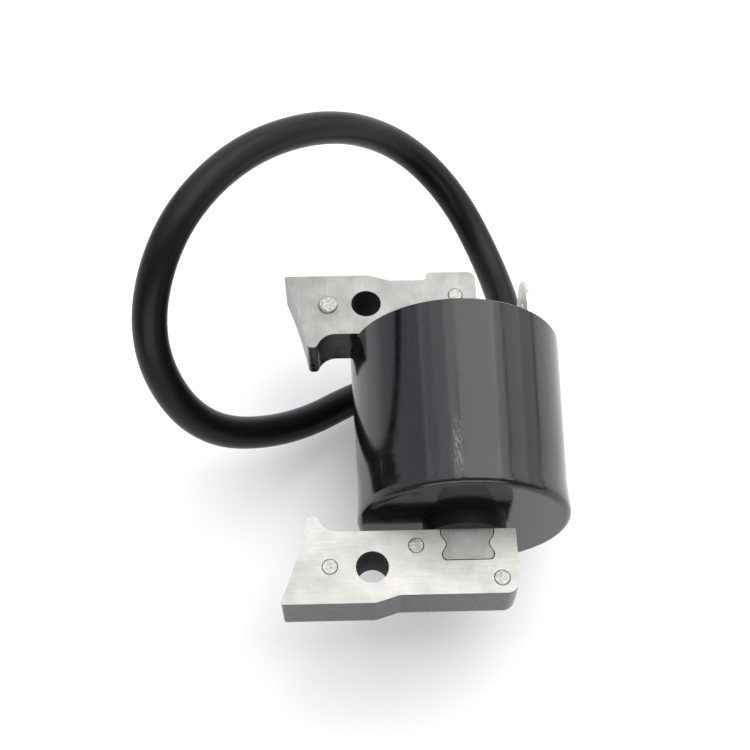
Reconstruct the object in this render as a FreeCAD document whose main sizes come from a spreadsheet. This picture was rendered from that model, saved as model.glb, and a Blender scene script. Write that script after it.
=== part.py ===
"""Potted ignition coil for a small engine. Its iron is two riveted stacks of punched sheets: a
plain pole shoe, and an L-shaped stack that is the other shoe and the core bar in one piece. A
moulded cup full of windings and resin sits round the bar, and a high-tension lead leaves it.

Millimetres. +X points away from the flywheel, +Y runs along the core bar and the cup's
axis, and +Z is normal to the sheets. The origin is halfway between the two mounting
holes, on the face that seats on the engine.
"""
import FreeCAD, Part

import math
import os

import Sketcher
from FreeCAD import Placement, Rotation, Vector

doc = FreeCAD.newDocument("IgnitionCoil")

# ---------------------------------------------------------------- driving dimensions

SIZES = {
    # steel sheets
    "sheet_pitch": 0.635,
    "sheet_thickness": 0.605,
    "sheet_count": 17,
    # pole shoes, drawn for +Y and mirrored for -Y; Y sizes are from the line of the holes
    "hole_spacing": 59.6,
    "bolt_hole_radius": 3.2,
    "pole_face_radius": 100,
    "shoe_tip_x": -17.8,
    "shoe_outer": 7.2,
    "shoe_inner": -7.4,
    "horn_tip": -10.6,
    "horn_width": 1.9,
    "horn_root_run": 1.06,
    "step_start_x": 0.6,
    "step_end_x": 5.2,
    "step": 5.75,
    "lower_end_x": 28.3,
    "tab_start_x": 13.2,
    "tab": 7.65,
    "tip_round": 0.5,
    "horn_round": 0.9,
    "horn_root_round": 4.0,
    "step_round": 3.0,
    "lower_end_round": 2.6,
    "tab_round": 1.9,
    "tab_step_round": 0.8,
    "bar_root_round": 1.0,
    # core bar and its dovetails
    "core_x": 18.7,
    "core_width": 10.6,
    "dovetail_shoulder_depth": 1.1,
    "dovetail_neck_depth": 3.0,
    "dovetail_bulb_depth": 5.1,
    "dovetail_depth": 6.4,
    "dovetail_neck": 8.2,
    "dovetail_bulb": 10.5,
    "dovetail_bottom": 9.7,
    "dovetail_round": 0.9,
    "dovetail_clearance": 0.18,
    # rivets, with their Y from the line of the holes
    "rivet_radius": 1.5,
    "rivet_clearance": 0.1,
    "rivet_proud": 0.12,
    "face_rivet_x": -8.2,
    "face_rivet": -0.2,
    "middle_rivet_x": 8.6,
    "middle_rivet": -4.2,
    "lower_end_rivet_x": 24.95,
    "lower_end_rivet": 2.7,
    "upper_end_rivet_x": 19.3,
    "upper_end_rivet": 1.8,
    "raised_head_radius": 2.1,
    "raised_head_height": 0.6,
    # sleeve and windings, from the core bar outwards
    "fit_clearance": 0.05,
    "core_clearance": 0.1,
    "sleeve_bore": 4.3,
    "sleeve_wall": 0.69,
    "primary_depth": 2.6,
    "film_thickness": 0.2,
    "secondary_depth": 6.0,
    "secondary_wall": 0.8,
    "section_count": 6,
    "section_wall": 0.8,
    "flange_thickness": 1.0,
    # cup, from the windings outwards
    "case_room": 2.35,
    "case_wall": 1.8,
    "case_floor": 2.0,
    "case_draft_slope": 0.0345,
    "case_flare": 0.3,
    "case_foot_gap": 2.9,
    "case_mouth_gap": 2.0,
    "case_waist_height": 6.5,
    "case_foot_height": 2.3,
    "case_flare_round": 45,
    "case_end_round": 1.4,
    "case_rim_round": 0.3,
    # resin and the board set in it
    "resin_depth": 1.0,
    "board_lift": 0.9,
    "board_thickness": 1.0,
    "board_width": 8.6,
    "board_length": 15.0,
    "board_gap": 1.0,
    "primary_wire_radius": 0.4,
    "primary_wire_gap": 4.0,
    "primary_wire_inset": 0.5,
    "solder_length": 0.8,
    # the board's parts, each placed from the board's outer long edge and its middle
    "transistor_length": 4.6,
    "transistor_height": 3.4,
    "transistor_width": 4.2,
    "transistor_x": 0.8,
    "transistor_z": -6.6,
    "capacitor_length": 3.2,
    "capacitor_height": 2.8,
    "capacitor_width": 5.0,
    "capacitor_x": 1.4,
    "capacitor_z": 0.9,
    "resistor_radius": 0.9,
    "resistor_length": 2.3,
    "resistor_x": 2.4,
    "resistor_pitch": 3.0,
    "resistor_z": -1.9,
    "diode_radius": 0.8,
    "diode_length": 3.1,
    "diode_x": 6.6,
    "diode_z": 2.9,
    # kill terminal and its wire, and the ground strap
    "blade_reach": 6.4,
    "blade_z": 8.0,
    "blade_turn": 12,
    "blade_width": 6.3,
    "blade_thickness": 0.8,
    "blade_root_lift": 0.5,
    "blade_standout": 12.0,
    "blade_hole_radius": 0.85,
    "blade_hole_from_tip": 5.0,
    "blade_tip_width": 1.8,
    "blade_taper": 4.2,
    "hook_wire_radius": 0.5,
    "hook_wire_lift": 2.4,
    "strap_thickness": 0.4,
    "strap_width": 3.0,
    "strap_rise": 0.8,
    # high-tension lead
    "lead_radius": 3.5,
    "conductor_radius": 0.9,
    "relief_gap": 0.1,
    "relief_tip_radius": 4.1,
    "relief_body": 7.0,
    "relief_length": 12.0,
    "contact_thickness": 0.8,
    "contact_radius": 2.2,
    "output_wire_radius": 0.25,
    "output_wire_offset": 1.5,
    "output_wire_slope": 0.19,
    "lead_reach": 13.4,
}

# The lead's route, from inside the resin to its cut end. It loops up over the flywheel
# side and comes back under the cup.
LEAD_ROUTE = [
    (31, 14, 0),
    (33, 32, -4),
    (29.5, 51.5, -7.5),
    (21, 66.5, 0.5),
    (8, 72, 13.5),
    (-8, 63, 31),
    (-26, 47, 41.5),
    (-39.5, 28, 40.5),
    (-44.5, 11, 26),
    (-35.5, 2.5, 5),
    (-17.5, 9.5, -10),
    (0.5, 24, -18),
    (17.5, 29, -21.5),
    (34, 25, -22),
]

sizes = doc.addObject("Spreadsheet::Sheet", "Sizes")
for row, (alias, value) in enumerate(SIZES.items(), start=1):
    sizes.set("A%d" % row, alias)
    sizes.set("B%d" % row, str(value))
    sizes.setAlias("B%d" % row, alias)
doc.recompute()

STACK_HEIGHT = "(Sizes.sheet_pitch * Sizes.sheet_count)"
AXIS_Z = "(%s / 2)" % STACK_HEIGHT
HOLE_Y = "(Sizes.hole_spacing / 2)"
OUTER_Y = "(%s + Sizes.shoe_outer)" % HOLE_Y
INNER_Y = "(%s + Sizes.shoe_inner)" % HOLE_Y
HORN_Y = "(%s + Sizes.horn_tip)" % HOLE_Y
STEP_Y = "(%s + Sizes.step)" % HOLE_Y
TAB_Y = "(%s + Sizes.tab)" % HOLE_Y

PASSAGE_X = "(Sizes.core_width / 2 + Sizes.core_clearance)"
PASSAGE_Z = "(%s + Sizes.core_clearance)" % AXIS_Z
SLEEVE_R = "(sqrt(%s ^ 2 + %s ^ 2) + Sizes.sleeve_wall)" % (PASSAGE_X, PASSAGE_Z)
PRIMARY_R = "(%s + Sizes.primary_depth)" % SLEEVE_R
SECTION_R = "(%s + Sizes.secondary_depth)" % PRIMARY_R
SECONDARY_R = "(%s - Sizes.section_wall)" % SECTION_R
WAIST_R = "(%s + Sizes.case_room + Sizes.case_wall)" % SECTION_R
FOOT_R = "(%s + Sizes.case_flare)" % WAIST_R

END_Y = "(Sizes.case_foot_gap - %s)" % INNER_Y
MOUTH_Y = "(%s - Sizes.case_mouth_gap)" % INNER_Y
FLOOR_Y = "(%s + Sizes.case_floor)" % END_Y
RESIN_Y = "(%s - Sizes.resin_depth)" % MOUTH_Y
MOUTH_R = "(%s + Sizes.case_draft_slope * (%s - %s - Sizes.case_waist_height))" % (
    WAIST_R,
    MOUTH_Y,
    END_Y,
)
# The windings stop short of the lead's inner end, to leave room for the contact disc and for its
# wire, which slopes down as it runs out past the sections.
CONTACT_ROOM = (
    "(Sizes.contact_thickness + 2 * Sizes.output_wire_radius + 3 * Sizes.fit_clearance"
    " + Sizes.output_wire_slope * (%s - Sizes.lead_reach))" % SECTION_R
)
WINDING_TOP_Y = "(%s - %s - Sizes.flange_thickness)" % (LEAD_ROUTE[0][1], CONTACT_ROOM)
RELIEF_R = "(Sizes.lead_reach - %s - Sizes.relief_gap)" % SLEEVE_R
WINDING_FOOT_Y = "(%s + Sizes.fit_clearance + Sizes.flange_thickness)" % FLOOR_Y
SLEEVE_FOOT_Y = "(Sizes.fit_clearance - %s)" % INNER_Y
BOARD_Y = "(%s + Sizes.flange_thickness + Sizes.board_lift)" % WINDING_TOP_Y
BOARD_TOP_Y = "(%s + Sizes.board_thickness)" % BOARD_Y
BOARD_X = "(-%s - Sizes.board_gap - Sizes.board_width)" % SLEEVE_R
BLADE_X = "(%s + Sizes.blade_reach)" % SLEEVE_R
FLYWHEEL_X = (
    "(Sizes.shoe_tip_x - sqrt(Sizes.pole_face_radius ^ 2 - %s ^ 2))" % OUTER_Y
)


def value_of(expression):
    """The number that an expression over the sheet stands for."""
    return float(sizes.evalExpression(expression))


# ---------------------------------------------------------------- helpers for bodies

nodes = []


def as_node(item, name):
    """Marks an object as one of the coil's pieces."""
    item.Label = name
    nodes.append(item)
    return item


def new_body(name, x="0", y="0", z="0", turn=None):
    """A body whose place follows the sheet, turned if the piece leans."""
    body = doc.addObject("PartDesign::Body", name.title().replace("_", ""))
    if turn is not None:
        body.Placement = Placement(Vector(0, 0, 0), turn)
    for axis, expression in (("x", x), ("y", y), ("z", z)):
        body.setExpression("Placement.Base." + axis, expression)
    return body


def new_sketch(body, name, role="XY_Plane"):
    """A sketch on one of the body's own origin planes."""
    sketch = body.newObject("Sketcher::SketchObject", body.Name + name)
    plane = [item for item in body.Origin.OriginFeatures if item.Role == role][0]
    sketch.AttachmentSupport = [(plane, "")]
    sketch.MapMode = "FlatFace"
    return sketch


def bind_point(sketch, geometry, position, x, y):
    """Ties a sketch point's two coordinates to expressions."""
    for kind, expression in (("DistanceX", x), ("DistanceY", y)):
        constraint = Sketcher.Constraint(kind, -1, 1, geometry, position, value_of(expression))
        index = sketch.addConstraint(constraint)
        sketch.setExpression("Constraints[%d]" % index, expression)


def draw_outline(sketch, corners, arc_side=None, arc_radius=None, arc_centre_x=None):
    """A closed outline through corners given as pairs of expressions.

    arc_side is the index of the side that is an arc about a centre at (arc_centre_x, 0).
    """
    points = [Vector(value_of(x), value_of(y), 0) for x, y in corners]
    ends = []
    first = sketch.GeometryCount
    for index, start in enumerate(points):
        stop = points[(index + 1) % len(points)]
        if index == arc_side:
            centre = Vector(value_of(arc_centre_x), 0, 0)
            circle = Part.Circle(centre, Vector(0, 0, 1), value_of(arc_radius))
            angles = [math.atan2(p.y, p.x - centre.x) for p in (start, stop)]
            sketch.addGeometry(Part.ArcOfCircle(circle, min(angles), max(angles)), False)
            ends.append((1, 2) if angles[0] < angles[1] else (2, 1))
        else:
            sketch.addGeometry(Part.LineSegment(start, stop), False)
            ends.append((1, 2))
    for index in range(len(points)):
        after = (index + 1) % len(points)
        sketch.addConstraint(
            Sketcher.Constraint(
                "Coincident", first + index, ends[index][1], first + after, ends[after][0]
            )
        )
    for index, (x, y) in enumerate(corners):
        bind_point(sketch, first + index, ends[index][0], x, y)
    if arc_side is not None:
        index = sketch.addConstraint(
            Sketcher.Constraint("Radius", first + arc_side, value_of(arc_radius))
        )
        sketch.setExpression("Constraints[%d]" % index, arc_radius)


def draw_circle(sketch, x, y, radius):
    """A circle whose centre and radius are expressions."""
    centre = Vector(value_of(x), value_of(y), 0)
    index = sketch.addGeometry(Part.Circle(centre, Vector(0, 0, 1), value_of(radius)), False)
    bind_point(sketch, index, 3, x, y)
    constraint = sketch.addConstraint(Sketcher.Constraint("Radius", index, value_of(radius)))
    sketch.setExpression("Constraints[%d]" % constraint, radius)


def pad(body, sketch, length, both_ways=False):
    """Pads a sketch, to one side or symmetrically."""
    feature = body.newObject("PartDesign::Pad", sketch.Name + "Pad")
    feature.Profile = sketch
    feature.setExpression("Length", length)
    feature.Midplane = both_ways
    doc.recompute()
    return feature


def revolve(body, sketch):
    """Revolves a sketch all the way round its vertical axis."""
    feature = body.newObject("PartDesign::Revolution", sketch.Name + "Turn")
    feature.Profile = sketch
    feature.ReferenceAxis = (sketch, ["V_Axis"])
    feature.Angle = 360
    doc.recompute()
    return feature


def upright_edges_at(shape, places):
    """Names of the edges along Z that stand at any of the given places."""
    found = []
    for index, edge in enumerate(shape.Edges, start=1):
        if len(edge.Vertexes) != 2:
            continue
        low, high = (vertex.Point for vertex in edge.Vertexes)
        upright = math.hypot(low.x - high.x, low.y - high.y) < 1e-6
        if upright and any(math.hypot(low.x - x, low.y - y) < 1e-4 for x, y in places):
            found.append("Edge%d" % index)
    return found


def round_corners(body, base, corners, radius):
    """Rounds the upright edges at the given corners, which are pairs of expressions."""
    places = [(value_of(x), value_of(y)) for x, y in corners]
    feature = body.newObject("PartDesign::Fillet", "%sRound%d" % (body.Name, len(body.Group)))
    feature.Base = (base, upright_edges_at(base.Shape, places))
    feature.setExpression("Radius", radius)
    doc.recompute()
    return feature


def ring_edges_at(shape, radius, height):
    """Names of the circular edges of a turned shape at a radius and a height."""
    found = []
    for index, edge in enumerate(shape.Edges, start=1):
        if not isinstance(edge.Curve, Part.Circle):
            continue
        centre = edge.Curve.Center
        if abs(edge.Curve.Radius - radius) < 1e-4 and abs(centre.y - height) < 1e-4:
            found.append("Edge%d" % index)
    return found


def stack_sheets(body):
    """Repeats the finished sheet along Z, one separate solid for each sheet."""
    stack = body.newObject("PartDesign::LinearPattern", body.Name + "Stack")
    stack.TransformMode = "Whole shape"
    axis = [item for item in body.Origin.OriginFeatures if item.Role == "Z_Axis"][0]
    stack.Direction = (axis, [""])
    stack.Mode = "Spacing"
    stack.setExpression("Occurrences", "Sizes.sheet_count")
    stack.setExpression("Offset", "Sizes.sheet_pitch")
    body.Tip = stack
    doc.recompute()


def turned_node(name, corners):
    """A ring about the cup's axis, from an outline of (radius, height) expressions."""
    body = new_body(name, x="Sizes.core_x", z=AXIS_Z)
    sketch = new_sketch(body, "Profile")
    draw_outline(sketch, corners)
    revolve(body, sketch)
    return as_node(body, name)


def ring_corners(inner, outer, low, high):
    """The outline of a plain ring, as (radius, height) expressions."""
    return [(inner, low), (outer, low), (outer, high), (inner, high)]


# ---------------------------------------------------------------- pole shoes


def dovetail_corners(clearance):
    """The core bar's dovetail in the -Y shoe, from its right mouth corner to its left one."""
    steps = [
        ("Sizes.core_width", "0"),
        ("Sizes.core_width", "Sizes.dovetail_shoulder_depth"),
        ("Sizes.dovetail_neck", "Sizes.dovetail_neck_depth"),
        ("Sizes.dovetail_bulb", "Sizes.dovetail_bulb_depth"),
        ("Sizes.dovetail_bottom", "(Sizes.dovetail_depth - %s)" % clearance),
    ]
    right = []
    left = []
    for width, depth in steps:
        half = "(%s / 2 - %s)" % (width, clearance)
        y = "-(%s + %s)" % (INNER_Y, depth)
        right.append(("Sizes.core_x + " + half, y))
        left.append(("Sizes.core_x - " + half, y))
    return right + left[::-1]


def face_corners(side):
    """The flywheel end of a shoe, from its horn's root round its face to the outer step.

    side is "" for the +Y shoe and "-" for the -Y shoe. Both faces lie on one circle about
    the flywheel's axis.
    """
    horn_x = "%s + sqrt(Sizes.pole_face_radius ^ 2 - %s ^ 2)" % (FLYWHEEL_X, HORN_Y)
    places = [
        (horn_x + " + Sizes.horn_width + Sizes.horn_root_run", INNER_Y),
        (horn_x + " + Sizes.horn_width", HORN_Y),
        (horn_x, HORN_Y),
        ("Sizes.shoe_tip_x", OUTER_Y),
        ("Sizes.step_start_x", OUTER_Y),
        ("Sizes.step_end_x", STEP_Y),
    ]
    return [(x, side + y) for x, y in places]


def build_sheets(name, face, side, others, rounds, rivets):
    """A riveted stack of one punched outline, with its mounting hole and rivet holes."""
    body = new_body(name)
    sketch = new_sketch(body, "Outline")
    draw_outline(
        sketch,
        face + others,
        arc_side=2,
        arc_radius="Sizes.pole_face_radius",
        arc_centre_x=FLYWHEEL_X,
    )
    draw_circle(sketch, "0", side + HOLE_Y, "Sizes.bolt_hole_radius")
    for x, y in rivets:
        draw_circle(sketch, x, y, "Sizes.rivet_radius + Sizes.rivet_clearance")
    sheet = pad(body, sketch, "Sizes.sheet_thickness")
    face_rounds = [
        (face[:1], "Sizes.horn_root_round"),
        (face[1:3], "Sizes.horn_round"),
        (face[3:4], "Sizes.tip_round"),
        (face[4:6], "Sizes.step_round"),
    ]
    for places, radius in face_rounds + rounds:
        sheet = round_corners(body, sheet, places, radius)
    stack_sheets(body)
    return as_node(body, name)


def build_lower_pole():
    """The -Y shoe, which the core bar's dovetail is pressed into."""
    end = ("Sizes.lower_end_x", "-" + STEP_Y)
    inner_end = ("Sizes.lower_end_x", "-" + INNER_Y)
    slot = dovetail_corners("0")
    build_sheets(
        "lower_pole_laminations",
        face_corners("-"),
        "-",
        [end, inner_end, *slot],
        [
            ([end], "Sizes.lower_end_round"),
            ([inner_end], "Sizes.tip_round"),
            (slot[1:9], "Sizes.dovetail_round"),
        ],
        LOWER_RIVETS,
    )


def build_core_and_upper_pole():
    """The L-shaped stack: the +Y shoe and the core bar are punched in one piece."""
    tail = dovetail_corners("Sizes.dovetail_clearance")
    right_x = tail[0][0]
    inner_corner = (tail[-1][0], INNER_Y)
    tab = [("Sizes.tab_start_x", STEP_Y), ("Sizes.tab_start_x", TAB_Y), (right_x, TAB_Y)]
    build_sheets(
        "core_and_upper_pole_laminations",
        face_corners(""),
        "",
        [*tab, *tail, inner_corner],
        [
            (tab[:2], "Sizes.tab_step_round"),
            (tab[2:], "Sizes.tab_round"),
            (tail[1:9], "Sizes.dovetail_round"),
            ([inner_corner], "Sizes.bar_root_round"),
        ],
        UPPER_RIVETS,
    )


def rivet_places(side, end_rivet):
    """The centres of one shoe's three rivets."""
    places = []
    for rivet in ("face_rivet", "middle_rivet", end_rivet):
        places.append(("Sizes.%s_x" % rivet, "%s(%s + Sizes.%s)" % (side, HOLE_Y, rivet)))
    return places


def top_circles(shape, height):
    """Names of the circular edges that lie at a height along Z."""
    found = []
    for index, edge in enumerate(shape.Edges, start=1):
        if isinstance(edge.Curve, Part.Circle) and abs(edge.Curve.Center.z - height) < 1e-6:
            found.append("Edge%d" % index)
    return found


def build_rivets(name, places, raised_first):
    """One shoe's rivets: flush behind, a little proud in front, their ends chamfered."""
    body = new_body(name)
    sketch = new_sketch(body, "Shanks")
    for x, y in places:
        draw_circle(sketch, x, y, "Sizes.rivet_radius")
    proud = STACK_HEIGHT + " + Sizes.rivet_proud"
    shanks = pad(body, sketch, proud)
    crown = body.newObject("PartDesign::Chamfer", body.Name + "Crown")
    crown.Base = (shanks, top_circles(shanks.Shape, value_of(proud)))
    crown.setExpression("Size", "Sizes.rivet_proud")
    doc.recompute()
    if raised_first:
        head = new_sketch(body, "Head")
        head.setExpression("AttachmentOffset.Base.z", STACK_HEIGHT)
        draw_circle(head, *places[0], "Sizes.raised_head_radius")
        raised = pad(body, head, "Sizes.raised_head_height")
        height = value_of(STACK_HEIGHT + " + Sizes.raised_head_height")
        dome = body.newObject("PartDesign::Fillet", body.Name + "Dome")
        dome.Base = (raised, top_circles(raised.Shape, height))
        dome.setExpression("Radius", "Sizes.raised_head_height - Sizes.rivet_proud")
        doc.recompute()
    return as_node(body, name)


# ---------------------------------------------------------------- cup and windings


def build_case():
    """The moulded cup: closed at its foot, drafted, with a sleeve hole in its floor."""
    hole = "(%s + Sizes.fit_clearance)" % SLEEVE_R
    foot_y = "(%s + Sizes.case_foot_height)" % END_Y
    waist_y = "(%s + Sizes.case_waist_height)" % END_Y
    corners = [
        (hole, END_Y),
        (FOOT_R, END_Y),
        (FOOT_R, foot_y),
        (WAIST_R, waist_y),
        (MOUTH_R, MOUTH_Y),
        (MOUTH_R + " - Sizes.case_wall", MOUTH_Y),
        (WAIST_R + " - Sizes.case_wall", FLOOR_Y),
        (hole, FLOOR_Y),
    ]
    body = new_body("coil_case", x="Sizes.core_x", z=AXIS_Z)
    sketch = new_sketch(body, "Profile")
    draw_outline(sketch, corners)
    shape = revolve(body, sketch)
    rounds = [
        ("CaseWaist", [(WAIST_R, waist_y), (FOOT_R, foot_y)], "Sizes.case_flare_round"),
        ("CaseFoot", [(FOOT_R, END_Y)], "Sizes.case_end_round"),
        ("CaseRim", [(MOUTH_R, MOUTH_Y)], "Sizes.case_rim_round"),
    ]
    for name, rings, radius in rounds:
        edges = []
        for ring_radius, height in rings:
            edges += ring_edges_at(shape.Shape, value_of(ring_radius), value_of(height))
        rounded = body.newObject("PartDesign::Fillet", name)
        rounded.Base = (shape, edges)
        rounded.setExpression("Radius", radius)
        doc.recompute()
        shape = rounded
    return as_node(body, "coil_case")


def wire_hole_places():
    """Where the two primary wires leave the winding, in the cup's X and Z."""
    x = "(%s + Sizes.board_width - Sizes.primary_wire_inset)" % BOARD_X
    half_gap = "Sizes.primary_wire_gap / 2"
    return [(x, half_gap), (x, "-" + half_gap)]


def build_primary_bobbin():
    """The sleeve round the core bar, whose foot stands out through the cup's floor."""
    flange = "(%s + Sizes.film_thickness + 2 * Sizes.fit_clearance)" % PRIMARY_R
    low = "(%s + Sizes.fit_clearance)" % FLOOR_Y
    flange_top = "(%s + Sizes.flange_thickness)" % WINDING_TOP_Y
    corners = [
        ("Sizes.sleeve_bore", SLEEVE_FOOT_Y),
        (SLEEVE_R, SLEEVE_FOOT_Y),
        (SLEEVE_R, low),
        (flange, low),
        (flange, WINDING_FOOT_Y),
        (SLEEVE_R, WINDING_FOOT_Y),
        (SLEEVE_R, WINDING_TOP_Y),
        (flange, WINDING_TOP_Y),
        (flange, flange_top),
        (SLEEVE_R, flange_top),
        (SLEEVE_R, RESIN_Y),
        ("Sizes.sleeve_bore", RESIN_Y),
    ]
    body = new_body("primary_bobbin", x="Sizes.core_x", z=AXIS_Z)
    sketch = new_sketch(body, "Profile")
    draw_outline(sketch, corners)
    revolve(body, sketch)

    passage = new_sketch(body, "Passage", "XZ_Plane")
    draw_outline(
        passage,
        [
            ("-" + PASSAGE_X, "-" + PASSAGE_Z),
            (PASSAGE_X, "-" + PASSAGE_Z),
            (PASSAGE_X, PASSAGE_Z),
            ("-" + PASSAGE_X, PASSAGE_Z),
        ],
    )
    opening = body.newObject("PartDesign::Pocket", "BobbinPassage")
    opening.Profile = passage
    opening.Type = "ThroughAll"
    opening.Midplane = True
    doc.recompute()

    wires = new_sketch(body, "WireHoles", "XZ_Plane")
    for x, z in wire_hole_places():
        draw_circle(wires, x, z, "Sizes.primary_wire_radius + Sizes.fit_clearance")
    holes = body.newObject("PartDesign::Pocket", "BobbinWireHoles")
    holes.Profile = wires
    holes.setExpression("Length", WINDING_TOP_Y + " + 2 * Sizes.flange_thickness")
    doc.recompute()
    return as_node(body, "primary_bobbin")


def build_windings():
    """The primary winding, the film round it, and the divided secondary over both.

    Returns the height of the last section's middle, where the output wire leaves it.
    """
    gap = "Sizes.fit_clearance"
    wound_low = "%s + %s" % (WINDING_FOOT_Y, gap)
    wound_high = "%s - %s" % (WINDING_TOP_Y, gap)
    wire_inner = "%s + %s" % (SLEEVE_R, gap)
    turned_node("primary_winding", ring_corners(wire_inner, PRIMARY_R, wound_low, wound_high))
    film_inner = "%s + %s" % (PRIMARY_R, gap)
    film_outer = film_inner + " + Sizes.film_thickness"
    turned_node("primary_insulation", ring_corners(film_inner, film_outer, wound_low, wound_high))

    barrel_inner = "%s + 2 * %s" % (film_outer, gap)
    barrel_outer = barrel_inner + " + Sizes.secondary_wall"
    low = "(%s + %s)" % (FLOOR_Y, gap)
    high = "(%s + Sizes.flange_thickness)" % WINDING_TOP_Y
    count = int(SIZES["section_count"])
    room = "((%s - %s - Sizes.section_wall) / Sizes.section_count)" % (high, low)
    outline = [(barrel_inner, low)]
    sections = []
    for index in range(count + 1):
        wall_low = "%s + %d * %s" % (low, index, room)
        wall_high = wall_low + " + Sizes.section_wall"
        if index:
            outline.append((barrel_outer, wall_low))
            sections[-1] = (sections[-1], "%s - %s" % (wall_low, gap))
        outline.append((SECTION_R, wall_low))
        outline.append((SECTION_R, wall_high))
        if index < count:
            outline.append((barrel_outer, wall_high))
            sections.append("%s + %s" % (wall_high, gap))
    outline.append((barrel_inner, high))
    turned_node("secondary_bobbin", outline)

    body = new_body("secondary_winding", x="Sizes.core_x", z=AXIS_Z)
    sketch = new_sketch(body, "Profile")
    for section_low, section_high in sections:
        inner = barrel_outer + " + " + gap
        draw_outline(sketch, ring_corners(inner, SECONDARY_R, section_low, section_high))
    revolve(body, sketch)
    as_node(body, "secondary_winding")
    return "(%s + (Sizes.section_count - 0.5) * %s)" % (low, room)


# ---------------------------------------------------------------- board and terminals


def place(item, x, y, z):
    """Ties an object's place to the cup's axis and the sheet."""
    item.setExpression("Placement.Base.x", "Sizes.core_x + " + x)
    item.setExpression("Placement.Base.y", y)
    item.setExpression("Placement.Base.z", AXIS_Z + " + " + z)


def box_node(name, size, corner):
    """A plain block, with its sizes and its low corner given as expressions."""
    block = doc.addObject("Part::Box", name.title().replace("_", ""))
    for side, expression in zip(("Length", "Width", "Height"), size):
        block.setExpression(side, expression)
    place(block, *corner)
    return block


def rod(name, radius, length, start, direction):
    """A round rod along X, Y or Z from its start."""
    cylinder = doc.addObject("Part::Cylinder", name)
    cylinder.setExpression("Radius", radius)
    cylinder.setExpression("Height", length)
    cylinder.Placement = Placement(Vector(0, 0, 0), Rotation(Vector(0, 0, 1), direction))
    place(cylinder, *start)
    return cylinder


def group_node(name, items):
    """Like pieces that share one node, each a solid of its own."""
    group = doc.addObject("Part::Compound", name.title().replace("_", ""))
    group.Links = items
    return as_node(group, name)


ACROSS = Vector(0, 1, 0)
ALONG_Z = Vector(0, 0, 1)


def build_board():
    """The trigger board, with holes for the two primary wires."""
    board = box_node(
        "board_blank",
        ("Sizes.board_width", "Sizes.board_thickness", "Sizes.board_length"),
        (BOARD_X, BOARD_Y, "(-Sizes.board_length / 2)"),
    )
    holes = []
    for index, (x, z) in enumerate(wire_hole_places()):
        radius = "Sizes.primary_wire_radius + Sizes.fit_clearance"
        start = (x, "%s - Sizes.board_thickness" % BOARD_Y, z)
        length = "3 * Sizes.board_thickness"
        holes.append(rod("BoardHole%d" % index, radius, length, start, ACROSS))
    tools = doc.addObject("Part::Compound", "BoardHoles")
    tools.Links = holes
    cut = doc.addObject("Part::Cut", "ControlBoard")
    cut.Base = board
    cut.Tool = tools
    return as_node(cut, "control_board")


def build_board_parts():
    """The parts soldered on the board, and the wires from the primary winding."""
    seat = "(%s + Sizes.fit_clearance)" % BOARD_TOP_Y
    for name, part in (("switching_transistor", "transistor"), ("trigger_capacitor", "capacitor")):
        size = ["Sizes.%s_%s" % (part, side) for side in ("length", "height", "width")]
        corner = (BOARD_X + " + Sizes.%s_x" % part, seat, "Sizes.%s_z" % part)
        as_node(box_node(name, size, corner), name)
    resistors = []
    for index in range(2):
        x = "%s + Sizes.resistor_x + %d * Sizes.resistor_pitch" % (BOARD_X, index)
        start = (x, seat + " + Sizes.resistor_radius", "Sizes.resistor_z")
        resistors.append(
            rod(
                "Resistor%d" % index,
                "Sizes.resistor_radius",
                "Sizes.resistor_length",
                start,
                ALONG_Z,
            )
        )
    group_node("board_resistors", resistors)
    start = (BOARD_X + " + Sizes.diode_x", seat + " + Sizes.diode_radius", "Sizes.diode_z")
    diode = rod("Diode", "Sizes.diode_radius", "Sizes.diode_length", start, ALONG_Z)
    as_node(diode, "flyback_diode")
    wires = []
    length = "%s + Sizes.solder_length - %s" % (BOARD_TOP_Y, WINDING_TOP_Y)
    for index, (x, z) in enumerate(wire_hole_places()):
        start = (x, WINDING_TOP_Y, z)
        wires.append(rod("PrimaryWire%d" % index, "Sizes.primary_wire_radius", length, start, ACROSS))
    group_node("primary_wires", wires)


def build_kill_terminal():
    """The stop-switch blade: a flat tab with a hole and a pointed tip."""
    turn = Rotation(Vector(0, 1, 0), SIZES["blade_turn"])
    body = new_body(
        "kill_terminal", x="Sizes.core_x + " + BLADE_X, z=AXIS_Z + " + Sizes.blade_z", turn=turn
    )
    sketch = new_sketch(body, "Blade", "YZ_Plane")
    half = "Sizes.blade_width / 2"
    half_tip = "Sizes.blade_tip_width / 2"
    root = "(%s + Sizes.blade_root_lift)" % BOARD_Y
    tip = "(%s + Sizes.blade_standout)" % MOUTH_Y
    shoulder = "(%s - Sizes.blade_taper)" % tip
    draw_outline(
        sketch,
        [
            (root, "-" + half),
            (shoulder, "-" + half),
            (tip, "-" + half_tip),
            (tip, half_tip),
            (shoulder, half),
            (root, half),
        ],
    )
    draw_circle(sketch, tip + " - Sizes.blade_hole_from_tip", "0", "Sizes.blade_hole_radius")
    pad(body, sketch, "Sizes.blade_thickness", both_ways=True)
    return as_node(body, "kill_terminal")


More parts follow.
